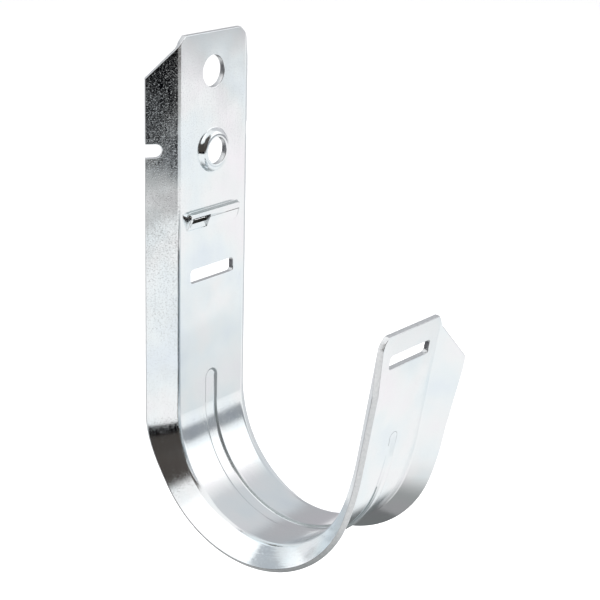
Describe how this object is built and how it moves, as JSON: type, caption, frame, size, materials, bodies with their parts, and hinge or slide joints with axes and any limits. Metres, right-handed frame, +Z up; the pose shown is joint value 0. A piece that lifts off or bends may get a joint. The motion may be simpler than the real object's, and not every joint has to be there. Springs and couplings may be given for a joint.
{
  "type": "j hook cable support",
  "caption": "Sheet steel J hook that carries a bundle of cables in a wide loop below a screw-fixed back plate, with flanged edges and tie slots.",
  "frame": {"origin": "centre of the mounting hole, on the back plate's cable side", "axes": "+X points from the back plate to the lip, along the mounting hole, +Y across the strip, +Z up the plate"},
  "size_m": [0.0675, 0.0362, 0.1212],
  "materials": {
    "zinc_plated_steel": "bright zinc plate, pale blue, faintly streaked"
  },
  "bodies": {
    "root": {"j_hook": "zinc_plated_steel"}
  },
  "joints": []
}
